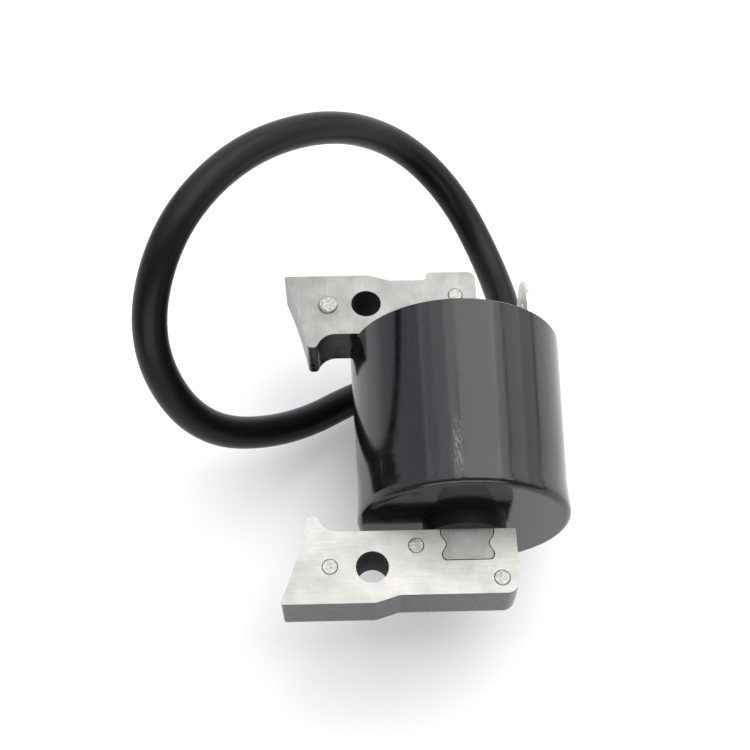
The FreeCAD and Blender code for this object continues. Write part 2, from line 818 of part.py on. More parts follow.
def build_ground_strap():
    """The strip that joins the windings' ground to the core bar, bent over the sleeve."""
    body = new_body("ground_strap", x="Sizes.core_x", z=AXIS_Z)
    sketch = new_sketch(body, "Side")
    inner = "-(%s + Sizes.fit_clearance)" % SLEEVE_R
    outer = inner + " - Sizes.strap_thickness"
    core = "-(Sizes.core_width / 2 + Sizes.fit_clearance)"
    off_core = core + " - Sizes.strap_thickness"
    low = BOARD_TOP_Y + " + Sizes.fit_clearance"
    bend = "(%s + Sizes.strap_rise)" % RESIN_Y
    over = "(%s + Sizes.strap_thickness)" % bend
    end = "(%s - Sizes.bar_root_round)" % INNER_Y
    draw_outline(
        sketch,
        [
            (outer, low),
            (inner, low),
            (inner, bend),
            (core, bend),
            (core, end),
            (off_core, end),
            (off_core, over),
            (outer, over),
        ],
    )
    pad(body, sketch, "Sizes.strap_width", both_ways=True)
    return as_node(body, "ground_strap")


# ---------------------------------------------------------------- wires and the lead


# Each bend uses this much of the shorter run beside it.
BEND_SHARE = 0.45
VOLUME_TOLERANCE = 0.01


def tangent_path(points):
    """Straight runs joined by the largest tangent arcs that they allow, and the radii."""
    vectors = [Vector(*point) for point in points]
    edges = []
    radii = []
    start = vectors[0]
    for before, corner, after in zip(vectors, vectors[1:], vectors[2:]):
        arriving = (corner - before).normalize()
        leaving = (after - corner).normalize()
        turn = arriving.getAngle(leaving)
        shorter = min((corner - before).Length, (after - corner).Length)
        reach = BEND_SHARE * shorter
        radius = reach / math.tan(turn / 2)
        radii.append(radius)
        enter = corner - arriving * reach
        leave = corner + leaving * reach
        inward = (leaving - arriving).normalize()
        to_centre = radius / math.cos(turn / 2)
        middle = corner + inward * (to_centre - radius)
        edges.append(Part.LineSegment(start, enter).toShape())
        edges.append(Part.Arc(enter, middle, leave).toShape())
        start = leave
    edges.append(Part.LineSegment(start, vectors[-1]).toShape())
    return Part.Wire(edges), radii


def tube_along(path, radius):
    """A solid round rod along a path, checked against its section times its length."""
    edge = path.Edges[0]
    start = edge.valueAt(edge.FirstParameter)
    heading = edge.tangentAt(edge.FirstParameter)
    section = Part.Wire([Part.makeCircle(radius, start, heading)])
    solid = path.makePipeShell([section], True, False)
    expected = math.pi * radius ** 2 * path.Length
    if abs(solid.Volume - expected) > VOLUME_TOLERANCE * expected:
        raise ValueError("tube volume %.1f, expected %.1f" % (solid.Volume, expected))
    return solid


def shape_node(name, shape):
    """A piece whose shape follows a path, which no primitive gives."""
    feature = doc.addObject("Part::Feature", name.title().replace("_", ""))
    feature.Shape = shape
    feature.Placement = Placement()
    return as_node(feature, name)


def build_lead():
    """The lead's jacket with its stranded conductor, on one path."""
    path, radii = tangent_path(LEAD_ROUTE)
    jacket = tube_along(path, SIZES["lead_radius"])
    conductor = tube_along(path, SIZES["conductor_radius"])
    shape_node("ht_lead_jacket", jacket.cut(conductor))
    shape_node("ht_lead_conductor", conductor)
    print("lead length %.1f mm" % path.Length)
    print("lead radii", [round(radius, 1) for radius in radii])


def lead_start():
    """The lead's inner end and its heading there."""
    start = Vector(*LEAD_ROUTE[0])
    return start, (Vector(*LEAD_ROUTE[1]) - start).normalize()


def build_strain_relief():
    """The moulded nose that holds the lead where it leaves the resin."""
    start, heading = lead_start()
    turn = Rotation(Vector(0, 1, 0), heading)
    body = new_body(
        "lead_strain_relief", x=str(start.x), y=str(start.y), z=str(start.z), turn=turn
    )
    sketch = new_sketch(body, "Profile")
    bore = "Sizes.lead_radius + Sizes.fit_clearance / 2"
    draw_outline(
        sketch,
        [
            (bore, "0"),
            (RELIEF_R, "0"),
            (RELIEF_R, "Sizes.relief_body"),
            ("Sizes.relief_tip_radius", "Sizes.relief_length"),
            (bore, "Sizes.relief_length"),
        ],
    )
    revolve(body, sketch)
    return as_node(body, "lead_strain_relief")


def build_ht_contact(section_height):
    """The disc at the lead's inner end, and the wire to it from the last section."""
    start, heading = lead_start()
    disc = doc.addObject("Part::Cylinder", "HtContact")
    disc.setExpression("Radius", "Sizes.contact_radius")
    disc.setExpression("Height", "Sizes.contact_thickness")
    behind = start - heading * SIZES["contact_thickness"]
    disc.Placement = Placement(behind, Rotation(Vector(0, 0, 1), heading))
    as_node(disc, "ht_contact")

    # The wire leaves along the disc's back face, and then runs down outside the sections.
    centre = Vector(SIZES["core_x"], 0, value_of(AXIS_Z))
    touching = SIZES["output_wire_radius"] + SIZES["fit_clearance"]
    below = behind - heading * touching
    out = Vector(below.x - centre.x, 0, below.z - centre.z)
    to_outside = value_of(SECTION_R) + SIZES["output_wire_offset"] - out.Length
    out.normalize()
    along_disc = out - heading * out.dot(heading)
    corner = below + along_disc * (to_outside / along_disc.dot(out))
    outward = Vector(corner.x - centre.x, 0, corner.z - centre.z)
    middle = centre + Vector(0, value_of(section_height), 0)
    turn_in = middle + outward
    winding = middle + outward.normalize() * value_of(SECONDARY_R)
    path = tangent_path([below, corner, turn_in, winding])[0]
    shape_node("ht_output_wire", tube_along(path, SIZES["output_wire_radius"]))


# The hook-up wire's stops round the sleeve: degrees from +X, and the distance outside it.
HOOK_WIRE_STOPS = [(146, 3.9), (146, 3.9), (124, 3.7), (97, 3.7), (61, 4.9)]


def build_kill_wire():
    """The insulated wire that runs round the sleeve from the board to the blade."""
    middle = Vector(SIZES["core_x"], 0, value_of(AXIS_Z))
    pad_y = value_of(BOARD_TOP_Y) + SIZES["fit_clearance"]
    height = value_of(BOARD_TOP_Y) + SIZES["hook_wire_lift"]
    points = []
    for degrees, outside in HOOK_WIRE_STOPS:
        reach = value_of(SLEEVE_R) + outside
        angle = math.radians(degrees)
        y = height if points else pad_y
        points.append(middle + Vector(reach * math.cos(angle), y, reach * math.sin(angle)))
    blade_side = value_of(BLADE_X) - SIZES["blade_thickness"] / 2 - SIZES["hook_wire_radius"]
    points.append(middle + Vector(blade_side, height, SIZES["blade_z"]))
    path = tangent_path(points)[0]
    shape_node("kill_wire", tube_along(path, SIZES["hook_wire_radius"]))


# ---------------------------------------------------------------- resin


def build_resin():
    """The potting resin: it fills the cup round everything that is set in it."""
    gap = "Sizes.fit_clearance"
    wall_foot = "%s - Sizes.case_wall - %s" % (WAIST_R, gap)
    # The cup's inner wall is a straight cone from its floor to its mouth.
    share = "((%s - %s) / (%s - %s))" % (RESIN_Y, FLOOR_Y, MOUTH_Y, FLOOR_Y)
    wall_top = "%s + (%s - %s) * %s" % (wall_foot, MOUTH_R, WAIST_R, share)
    low = "%s + %s" % (FLOOR_Y, gap)
    above = "%s + Sizes.flange_thickness + %s" % (WINDING_TOP_Y, gap)
    round_sections = "%s + %s" % (SECTION_R, gap)
    round_sleeve = "%s + %s" % (SLEEVE_R, gap)
    corners = [
        (round_sections, low),
        (wall_foot, low),
        (wall_top, RESIN_Y),
        (round_sleeve, RESIN_Y),
        (round_sleeve, above),
        (round_sections, above),
    ]
    body = new_body("resin_blank", x="Sizes.core_x", z=AXIS_Z)
    sketch = new_sketch(body, "Profile")
    draw_outline(sketch, corners)
    revolve(body, sketch)
    set_in_resin = {
        "control_board",
        "switching_transistor",
        "trigger_capacitor",
        "board_resistors",
        "flyback_diode",
        "primary_wires",
        "kill_terminal",
        "ground_strap",
        "lead_strain_relief",
        "ht_lead_jacket",
        "ht_lead_conductor",
        "ht_contact",
        "ht_output_wire",
        "kill_wire",
    }
    shape = body
    for item in [node for node in nodes if node.Label in set_in_resin]:
        cut = doc.addObject("Part::Cut", "Resin" + item.Name)
        cut.Base = shape
        cut.Tool = item
        shape = cut
    return as_node(shape, "potting_resin")


# ---------------------------------------------------------------- the whole coil

LOWER_RIVETS = rivet_places("-", "lower_end_rivet")
UPPER_RIVETS = rivet_places("", "upper_end_rivet")

build_lower_pole()
build_core_and_upper_pole()
build_rivets("lower_arm_rivets", LOWER_RIVETS, raised_first=False)
build_rivets("upper_arm_rivets", UPPER_RIVETS, raised_first=True)
build_case()
build_primary_bobbin()
last_section = build_windings()
build_board()
build_board_parts()
build_kill_terminal()
build_ground_strap()
build_strain_relief()
build_lead()
build_ht_contact(last_section)
build_kill_wire()
doc.recompute()
build_resin()
doc.recompute()

for item in doc.Objects:
    if {"Invalid", "Error"} & set(item.State):
        raise ValueError("%s failed: %s" % (item.Name, item.State))
os.makedirs("parts", exist_ok=True)
for item in nodes:
    shape = item.Shape
    if shape.isNull() or not shape.isValid() or not shape.Solids:
        raise ValueError("%s has no valid solid" % item.Label)
    shape.exportStep("parts/%s.step" % item.Label)
    print("%-24s %3d solids %10.1f mm3" % (item.Label, len(shape.Solids), shape.Volume))
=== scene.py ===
"""Looks for the potted ignition coil: two riveted pole shoes, a moulded cup and a looped lead."""

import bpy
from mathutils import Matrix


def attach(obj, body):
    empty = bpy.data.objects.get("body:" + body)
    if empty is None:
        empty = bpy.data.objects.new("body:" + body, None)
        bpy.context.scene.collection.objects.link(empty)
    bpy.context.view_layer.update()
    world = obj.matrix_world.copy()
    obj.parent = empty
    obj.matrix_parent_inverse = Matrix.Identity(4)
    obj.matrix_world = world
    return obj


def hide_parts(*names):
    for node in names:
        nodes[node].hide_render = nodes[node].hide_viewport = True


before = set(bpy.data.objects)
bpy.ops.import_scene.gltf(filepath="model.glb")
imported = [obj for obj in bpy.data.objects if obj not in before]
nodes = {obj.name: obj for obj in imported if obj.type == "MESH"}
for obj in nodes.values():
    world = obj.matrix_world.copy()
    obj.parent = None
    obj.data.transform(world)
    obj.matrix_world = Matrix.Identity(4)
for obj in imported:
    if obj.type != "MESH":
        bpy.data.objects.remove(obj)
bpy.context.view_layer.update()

import math

import bpy
from mathutils import Matrix, Quaternion, Vector

scene = bpy.context.scene

# ---------------------------------------------------------------- camera
# A short telephoto view from above the lower shoe, close enough for the cup to taper a little.

camera_data = bpy.data.cameras.new("studio_camera")
camera_data.lens = 61.56
camera_data.sensor_width = 36.0
camera_data.clip_start = 0.01
camera = bpy.data.objects.new("studio_camera", camera_data)
scene.collection.objects.link(camera)
camera_right = Vector((0.99970, -0.02412, 0.00458))
camera_up = Vector((0.01902, 0.87892, 0.47659))
camera_back = Vector((-0.01552, -0.47635, 0.87912))
camera_turn = Matrix((camera_right, camera_up, camera_back)).transposed()
camera_place = Vector((-0.00264, -0.11517, 0.24601))
camera.matrix_world = Matrix.Translation(camera_place) @ camera_turn.to_4x4()
scene.camera = camera

# ---------------------------------------------------------------- high-tension lead
# A 7 mm lead of black extruded rubber, moulded into the resin at the open end of the cup.
# It loops up over the flywheel side and its tail comes back under the cup.

LEAD_DIAMETER = 0.007
LEAD_ROUTE = [
    (0.031, 0.014, 0.000),
    (0.033, 0.032, -0.004),
    (0.0295, 0.0515, -0.0075),
    (0.021, 0.0665, 0.0005),
    (0.008, 0.072, 0.0135),
    (-0.008, 0.063, 0.031),
    (-0.026, 0.047, 0.0415),
    (-0.0395, 0.028, 0.0405),
    (-0.0445, 0.011, 0.026),
    (-0.0355, 0.0025, 0.005),
    (-0.0175, 0.0095, -0.010),
    (0.0005, 0.024, -0.018),
    (0.0175, 0.029, -0.0215),
    (0.034, 0.025, -0.022),
]


def new_route(name):
    """The lead's centreline as a curve object with no thickness."""
    curve = bpy.data.curves.new(name, "CURVE")
    curve.dimensions = "3D"
    curve.resolution_u = 24
    spline = curve.splines.new("NURBS")
    spline.points.add(len(LEAD_ROUTE) - 1)
    for point, place in zip(spline.points, LEAD_ROUTE):
        point.co = (*place, 1.0)
    spline.order_u = 3
    spline.use_endpoint_u = True
    item = bpy.data.objects.new(name, curve)
    scene.collection.objects.link(item)
    return item


def linear(colour):
    """An sRGB hex colour as the linear colour that a shader takes."""
    channels = [int(colour[index : index + 2], 16) / 255 for index in (1, 3, 5)]
    return [c / 12.92 if c <= 0.04045 else ((c + 0.055) / 1.055) ** 2.4 for c in channels] + [1.0]


def add_node(tree, kind, sockets, **settings):
    """Adds a node with its settings. Each socket takes a plain value or another node's output."""
    node = tree.nodes.new(kind)
    for name, value in settings.items():
        setattr(node, name, value)
    for key, value in sockets.items():
        if isinstance(value, bpy.types.NodeSocket):
            tree.links.new(value, node.inputs[key])
        else:
            node.inputs[key].default_value = value
    return node


def noise(tree, place, scale, detail, roughness=0.5):
    """Cloudy noise, as a value from 0 to 1."""
    sockets = {"Vector": place, "Scale": scale, "Detail": detail, "Roughness": roughness}
    return add_node(tree, "ShaderNodeTexNoise", sockets).outputs[0]


def stretched(tree, place, scale):
    """The place, multiplied by a factor of its own along each axis."""
    return add_node(tree, "ShaderNodeMapping", {"Vector": place, "Scale": scale}).outputs[0]


def remap(tree, value, source=(0.0, 1.0), result=(0.0, 1.0)):
    """A value taken from one range to another, and kept inside it."""
    sockets = {
        "Value": value,
        "From Min": source[0],
        "From Max": source[1],
        "To Min": result[0],
        "To Max": result[1],
    }
    return add_node(tree, "ShaderNodeMapRange", sockets).outputs[0]


def arithmetic(tree, operation, *values):
    """One operation on one, two or three values."""
    return add_node(tree, "ShaderNodeMath", dict(enumerate(values)), operation=operation).outputs[0]


def blend(tree, share, first, second):
    """A value that goes from the first to the second as the share rises."""
    sockets = {0: share, 2: first, 3: second}
    return add_node(tree, "ShaderNodeMix", sockets, data_type="FLOAT").outputs[0]


def tint(tree, share, first, second):
    """A colour that goes from the first to the second as the share rises."""
    sockets = {0: share, 6: first, 7: second}
    return add_node(tree, "ShaderNodeMix", sockets, data_type="RGBA").outputs[2]


def bumps(tree, height, strength, distance):
    """A normal that shows a height as fine relief."""
    sockets = {"Height": height, "Strength": strength, "Distance": distance}
    return add_node(tree, "ShaderNodeBump", sockets).outputs[0]


def new_material(name):
    """An empty material with its node tree and object coordinates."""
    material = bpy.data.materials.new(name)
    material.use_nodes = True
    tree = material.node_tree
    tree.nodes.clear()
    place = add_node(tree, "ShaderNodeTexCoord", {}).outputs["Object"]
    return material, tree, place


def finish_material(tree, sockets):
    """The shader with its sockets, joined to the output."""
    shader = add_node(tree, "ShaderNodeBsdfPrincipled", sockets)
    add_node(tree, "ShaderNodeOutputMaterial", {"Surface": shader.outputs["BSDF"]})


def dress(name, material):
    """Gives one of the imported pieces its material."""
    item = nodes[name]
    item.data.materials.clear()
    item.data.materials.append(material)


def lead_rubber():
    """EPDM lead jacket, extruded: a satin black with a dusty bloom and faint handling marks."""
    material, tree, place = new_material("satin_extruded_epdm")
    bloom = noise(tree, place, 90.0, 5.0, 0.6)
    grain = noise(tree, place, 1400.0, 3.0)
    colour = tint(tree, bloom, linear("#050507"), linear("#0c0c0f"))
    roughness = remap(tree, bloom, result=(0.28, 0.40))
    bump = bumps(tree, grain, 0.25, 0.00003)
    finish_material(
        tree,
        {
            "Base Color": colour,
            "Roughness": roughness,
            "Normal": bump,
            "IOR": 1.45,
            "Specular IOR Level": 0.24,
        },
    )
    return material


rubber = lead_rubber()
lead = new_route("ht_lead")
lead.data.bevel_depth = LEAD_DIAMETER / 2
lead.data.bevel_resolution = 10
lead.data.use_fill_caps = True
lead.data.materials.append(rubber)
dress("lead_strain_relief", rubber)

# ---------------------------------------------------------------- lead conductor
# Seven tinned copper strands twisted together inside the jacket. They show at the cut end.

STRAND_RADIUS = 0.0003
STRAND_TWIST_PITCH = 0.014
STRANDS_PROUD = 0.0006
STRANDS_ROUND_CENTRE = 6


def lead_centreline():
    """Points along the lead's centreline, read from its own spline."""
    route = new_route("lead_centreline")
    mesh = bpy.data.meshes.new_from_object(route)
    points = [vertex.co.copy() for vertex in mesh.vertices]
    bpy.data.objects.remove(route)
    bpy.data.meshes.remove(mesh)
    return points


def stranded_copper():
    """Tinned copper wire: bright where it was cut, with a little warmth from the copper."""
    material, tree, place = new_material("tinned_copper_strand")
    tarnish = noise(tree, place, 700.0, 4.0)
    colour = tint(tree, tarnish, linear("#c98f62"), linear("#e3c7a8"))
    roughness = remap(tree, tarnish, result=(0.22, 0.40))
    finish_material(tree, {"Base Color": colour, "Metallic": 1.0, "Roughness": roughness})
    return material


def add_strands(points):
    """The centre strand and six laid round it, made as one mesh of closed tubes."""
    headings = [(after - before).normalized() for before, after in zip(points, points[1:])]
    headings.append(headings[-1])
    points = points[:-1] + [points[-1] + headings[-1] * STRANDS_PROUD]
    side = headings[0].orthogonal().normalized()
    sides = []
    for before, after in zip([headings[0]] + headings, headings):
        side = before.rotation_difference(after) @ side
        sides.append(side.copy())
    travelled = [0.0]
    for before, after in zip(points, points[1:]):
        travelled.append(travelled[-1] + (after - before).length)
    curve = bpy.data.curves.new("lead_conductor", "CURVE")
    curve.dimensions = "3D"
    curve.bevel_depth = STRAND_RADIUS
    curve.bevel_resolution = 1
    curve.use_fill_caps = True
    for index in range(STRANDS_ROUND_CENTRE + 1):
        reach = 0.0 if index == 0 else 2 * STRAND_RADIUS
        start = index * math.tau / STRANDS_ROUND_CENTRE
        spline = curve.splines.new("POLY")
        spline.points.add(len(points) - 1)
        for point, place, heading, sideways, run in zip(
            spline.points, points, headings, sides, travelled
        ):
            turn = Quaternion(heading, start + run / STRAND_TWIST_PITCH * math.tau)
            point.co = (*(place + (turn @ sideways) * reach), 1.0)
    item = bpy.data.objects.new("lead_conductor", curve)
    scene.collection.objects.link(item)
    bpy.ops.object.select_all(action="DESELECT")
    item.select_set(True)
    bpy.context.view_layer.objects.active = item
    bpy.ops.object.convert(target="MESH")
    bpy.ops.object.shade_smooth_by_angle(angle=math.radians(50))
    item.data.materials.clear()
    item.data.materials.append(stranded_copper())
    return item


conductor = add_strands(lead_centreline())
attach(conductor, "root")
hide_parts("ht_lead_conductor")
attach(lead, "root")
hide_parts("ht_lead_jacket")

# ---------------------------------------------------------------- pole shoes and core
# Silicon-steel sheets, blanked and stacked. The faces are rolled and satin; the blanked edges
# were dipped in a black varnish, which holds the sheets together and reflects like paint.

SHEET_PITCH = 0.000635
HOLE_SPACING = 0.0596
HOLE_REACH = 0.0035
# A surface is a rolled face where its normal is at least this upright.
LEVEL_ENOUGH = 0.7
# The seam between two sheets, as shares of their pitch.
SEAM_MIDDLE = 0.95
SEAM_REACH = 0.13


def sheet_steel(name, bright, dull, roughness_low, roughness_high, scratch_axis):
    """Rolled sheet faces with faint scratches along one axis, and varnished blanked edges."""
    material, tree, place = new_material(name)
    facing = add_node(tree, "ShaderNodeNewGeometry", {}).outputs["Normal"]
    upright = add_node(tree, "ShaderNodeSeparateXYZ", {"Vector": facing}).outputs["Z"]
    on_face = arithmetic(tree, "GREATER_THAN", arithmetic(tree, "ABSOLUTE", upright), LEVEL_ENOUGH)
    cloud = noise(tree, place, 110.0, 8.0, 0.7)
    # Rolling grit leaves lines some 6 mm long and 0.2 mm apart.
    fine, long = 5000.0, 160.0
    stretch = (long, fine, fine) if scratch_axis == "X" else (fine, long, fine)
    along_lines = stretched(tree, place, stretch)
    lines = noise(tree, along_lines, 1.0, 3.0)
    mottle = blend(tree, 0.25, cloud, lines)
    spread = remap(tree, mottle, source=(0.35, 0.65))
    # Dark specks of varnish, 0.1 to 0.3 mm across, are left on the faces.
    speck_shape = noise(tree, place, 2600.0, 2.0)
    specks = remap(tree, speck_shape, source=(0.71, 0.76), result=(0.0, 0.6))
    clean_face = tint(tree, spread, linear(dull), linear(bright))
    face_colour = tint(tree, specks, clean_face, linear("#3c3a36"))
    # Each sheet's edge took the varnish a little differently, and the punch left upright streaks.
    height = add_node(tree, "ShaderNodeSeparateXYZ", {"Vector": place}).outputs["Z"]
    sheets_up = arithmetic(tree, "DIVIDE", height, SHEET_PITCH)
    sheet_number = arithmetic(tree, "FLOOR", sheets_up)
    coat = add_node(
        tree, "ShaderNodeTexWhiteNoise", {"W": sheet_number}, noise_dimensions="1D"
    ).outputs["Value"]
    along_streaks = stretched(tree, place, (2400.0, 2400.0, 300.0))
    streaks = noise(tree, along_streaks, 1.0, 3.0)
    edge_mottle = blend(tree, 0.5, coat, streaks)
    varnish = tint(tree, edge_mottle, linear("#050506"), linear("#1f1f20"))
    across_sheet = arithmetic(tree, "FRACT", sheets_up)
    seam = arithmetic(tree, "COMPARE", across_sheet, SEAM_MIDDLE, SEAM_REACH)
    edge_colour = tint(tree, seam, varnish, linear("#020202"))
    colour = tint(tree, on_face, edge_colour, face_colour)
    face_roughness = remap(tree, spread, result=(roughness_high, roughness_low))
    edge_roughness = remap(tree, edge_mottle, result=(0.14, 0.34))
    # The varnish doesn't reach the walls of the bolt holes, which are dull and dark.
    flat_place = add_node(
        tree, "ShaderNodeVectorMath", {0: place, 1: (1.0, 1.0, 0.0)}, operation="MULTIPLY"
    ).outputs[0]
    hole_distances = [
        add_node(
            tree, "ShaderNodeVectorMath", {0: flat_place, 1: (0.0, side, 0.0)}, operation="DISTANCE"
        ).outputs["Value"]
        for side in (-HOLE_SPACING / 2, HOLE_SPACING / 2)
    ]
    to_hole = arithmetic(tree, "MINIMUM", hole_distances[0], hole_distances[1])
    in_hole = arithmetic(tree, "LESS_THAN", to_hole, HOLE_REACH)
    wall_roughness = blend(tree, in_hole, edge_roughness, 0.75)
    roughness = blend(tree, on_face, wall_roughness, face_roughness)
    relief = blend(tree, on_face, streaks, lines)
    bump = bumps(tree, relief, 0.2, 0.00003)
    finish_material(
        tree,
        {"Base Color": colour, "Metallic": on_face, "Roughness": roughness, "Normal": bump},
    )
    return material


# Both stacks are the same steel: the lower shoe's faces get paler, warmer colours as painted light,
# and the upper shoe's greyer colours as painted shade.
lower_steel_painted_light = sheet_steel(
    "rolled_steel_painted_light_varnished_edges", "#c5c3be", "#afada8", 0.50, 0.62, "X"
)
dress("lower_pole_laminations", lower_steel_painted_light)
upper_steel_painted_shade = sheet_steel(
    "rolled_steel_painted_shade_varnished_edges", "#a6a7a3", "#90918c", 0.50, 0.62, "Y"
)
dress("core_and_upper_pole_laminations", upper_steel_painted_shade)

# ---------------------------------------------------------------- rivets
# Soft steel rivets that hold each stack: pushed through and upset, so that their ends are
# flattened with a coarse, hammered grain and stand a little proud of the face.


def upset_rivet_steel():
    """Steel squeezed by the riveting punch: a bright grey with shallow dents, painted darker in the
    dents as painted shade.
    """
    material, tree, place = new_material("upset_rivet_steel")
    dents = noise(tree, place, 1500.0, 4.0)
    # The colour follows the dents' depth: painted shade in the hollows.
    colour = tint(tree, dents, linear("#64635f"), linear("#cfcec8"))
    bump = bumps(tree, dents, 1.0, 0.00022)
    finish_material(
        tree, {"Base Color": colour, "Metallic": 1.0, "Roughness": 0.46, "Normal": bump}
    )
    return material


rivet_steel = upset_rivet_steel()
dress("lower_arm_rivets", rivet_steel)
dress("upper_arm_rivets", rivet_steel)

# ---------------------------------------------------------------- cup
# The coil's cup is injection-moulded black plastic from a polished mould: a deep gloss with a
# slight waviness, and light scuffs along its length from handling.

# Where the painted highlight band lies along the top of the cup.
HIGHLIGHT_BAND_X = 0.0166
HIGHLIGHT_BAND_WIDTH = 0.0022
HIGHLIGHT_BAND_MIDDLE_Y = -0.0118
HIGHLIGHT_BAND_LENGTH = 0.015


def moulded_cup_plastic():
    """Glass-filled PBT, moulded glossy: dark reflections with soft edges, rougher at scuffs, and a
    painted highlight band on top.
    """
    material, tree, place = new_material("gloss_moulded_pbt")
    waviness = noise(tree, place, 60.0, 2.0)
    haze = noise(tree, place, 220.0, 6.0, 0.7)
    # Rubbing along the cup leaves faint scuffs, 8 mm long and a third of a millimetre apart.
    along_scuffs = stretched(tree, place, (3000.0, 120.0, 3000.0))
    scuff_shape = noise(tree, along_scuffs, 1.0, 3.0)
    scuffs = remap(tree, scuff_shape, source=(0.60, 0.78))
    # One band along the top is painted lighter as a painted highlight, in fine broken streaks that
    # fade out at its sides.
    axes = add_node(tree, "ShaderNodeSeparateXYZ", {"Vector": place})
    fades = []
    for axis, middle, reach in (
        ("X", HIGHLIGHT_BAND_X, HIGHLIGHT_BAND_WIDTH / 2),
        ("Y", HIGHLIGHT_BAND_MIDDLE_Y, HIGHLIGHT_BAND_LENGTH / 2),
    ):
        offset = arithmetic(tree, "SUBTRACT", axes.outputs[axis], middle)
        away = arithmetic(tree, "ABSOLUTE", offset)
        fades.append(remap(tree, away, source=(reach, reach / 3)))
    band = arithmetic(tree, "MULTIPLY", fades[0], fades[1])
    along_band = stretched(tree, place, (6500.0, 900.0, 6500.0))
    highlight_streaks = noise(tree, along_band, 1.0, 4.0)
    broken = remap(tree, highlight_streaks, source=(0.44, 0.66), result=(0.0, 0.6))
    painted_highlight = arithmetic(tree, "MULTIPLY", band, broken)
    dust_shape = noise(tree, place, 5200.0, 1.0)
    dust = remap(tree, dust_shape, source=(0.74, 0.80), result=(0.0, 0.5))
    # Real dust specks and the painted highlight band, whichever is stronger.
    marks = arithmetic(tree, "MAXIMUM", painted_highlight, dust)
    scuffed = tint(tree, scuffs, linear("#0b0b0e"), linear("#17171a"))
    colour = tint(tree, marks, scuffed, linear("#8c8b8d"))
    polish = remap(tree, haze, source=(0.3, 0.7), result=(0.10, 0.19))
    roughness = arithmetic(tree, "MULTIPLY_ADD", scuffs, 0.10, polish)
    bump = bumps(tree, waviness, 0.15, 0.0002)
    finish_material(
        tree,
        {
            "Base Color": colour,
            "Roughness": roughness,
            "IOR": 1.52,
            "Normal": bump,
        },
    )
    return material


dress("coil_case", moulded_cup_plastic())

# ---------------------------------------------------------------- bobbins
# Moulded nylon spools. The primary's sleeve stands out through the cup's floor round the core.


def bobbin_nylon():
    """Black glass-filled nylon with a fine matte mould grain."""
    material, tree, place = new_material("matte_moulded_nylon")
    grain = noise(tree, place, 900.0, 4.0)
    colour = tint(tree, grain, linear("#050506"), linear("#0c0c0d"))
    bump = bumps(tree, grain, 0.3, 0.00005)
    finish_material(
        tree,
        {"Base Color": colour, "Roughness": 0.36, "Specular IOR Level": 0.35, "Normal": bump},
    )
    return material


nylon = bobbin_nylon()
dress("primary_bobbin", nylon)
dress("secondary_bobbin", nylon)

# ---------------------------------------------------------------- windings
# Enamelled copper wire, wound in layers: a few hundred turns of thick wire on the primary,
# and thousands of turns of hair-fine wire in the six sections of the secondary.

PRIMARY_TURN_PITCH = 0.0005
SECONDARY_TURN_PITCH = 0.0001
LOOSE_WIRE_RIDGE_PITCH = 0.0004


def wound_copper(name, turn_pitch):
    """Enamelled copper with a ridge for each turn, painted darker in the grooves between turns as
    painted shade.
    """
    material, tree, place = new_material(name)
    along = add_node(tree, "ShaderNodeSeparateXYZ", {"Vector": place}).outputs["Y"]
    phase = arithmetic(tree, "MULTIPLY", along, math.tau / turn_pitch)
    ridge = arithmetic(tree, "SINE", phase)
    height = remap(tree, ridge, source=(-1.0, 1.0))
    # The colour follows the ridges: painted shade in the grooves between turns.
    colour = tint(tree, height, linear("#5e2a12"), linear("#b8642f"))
    bump = bumps(tree, height, 0.8, turn_pitch / 4)
    finish_material(
        tree, {"Base Color": colour, "Metallic": 0.8, "Roughness": 0.32, "Normal": bump}
    )
    return material


dress("primary_winding", wound_copper("enamelled_copper_primary", PRIMARY_TURN_PITCH))
fine_winding = wound_copper("enamelled_copper_secondary", SECONDARY_TURN_PITCH)
dress("secondary_winding", fine_winding)
wire_copper = wound_copper("enamelled_copper_wire", LOOSE_WIRE_RIDGE_PITCH)
dress("primary_wires", wire_copper)
dress("ht_output_wire", wire_copper)

# ---------------------------------------------------------------- insulating film
# Amber polyester film wrapped between the two windings.


def polyester_film():
    """Amber film with the cloudy streaks of its adhesive."""
    material, tree, place = new_material("amber_polyester_film")
    streaks = noise(tree, place, 300.0, 4.0)
    colour = tint(tree, streaks, linear("#a8741f"), linear("#d8a547"))
    finish_material(tree, {"Base Color": colour, "Roughness": 0.25, "IOR": 1.6})
    return material


dress("primary_insulation", polyester_film())

# ---------------------------------------------------------------- trigger board and its parts
# A small glass-epoxy board with a moulded transistor, a dipped capacitor, two resistors and a
# diode, all buried in the resin.


def coated_compound(name, dark, light, roughness, scale):
    """A dipped or moulded body whose colour varies a little over its surface."""
    material, tree, place = new_material(name)
    mottle = noise(tree, place, scale, 4.0)
    colour = tint(tree, mottle, linear(dark), linear(light))
    bump = bumps(tree, mottle, 0.3, 0.00005)
    finish_material(tree, {"Base Color": colour, "Roughness": roughness, "Normal": bump})
    return material


dress("control_board", coated_compound("green_solder_mask", "#1d5a2c", "#2b7440", 0.35, 900.0))
moulding = coated_compound("moulded_epoxy_black", "#141414", "#222222", 0.5, 1200.0)
dress("switching_transistor", moulding)
dress("flyback_diode", moulding)
dipped = coated_compound("dipped_phenolic_tan", "#a77f4c", "#c39d68", 0.4, 700.0)
dress("trigger_capacitor", dipped)
dress("board_resistors", dipped)
dress("kill_wire", coated_compound("extruded_pvc_black", "#0f0f10", "#1c1c1d", 0.4, 800.0))

# ---------------------------------------------------------------- blade, strap and contact
# Stamped brass, plated with tin: the stop-switch blade, the ground strap and the disc that the
# lead's conductor presses on.


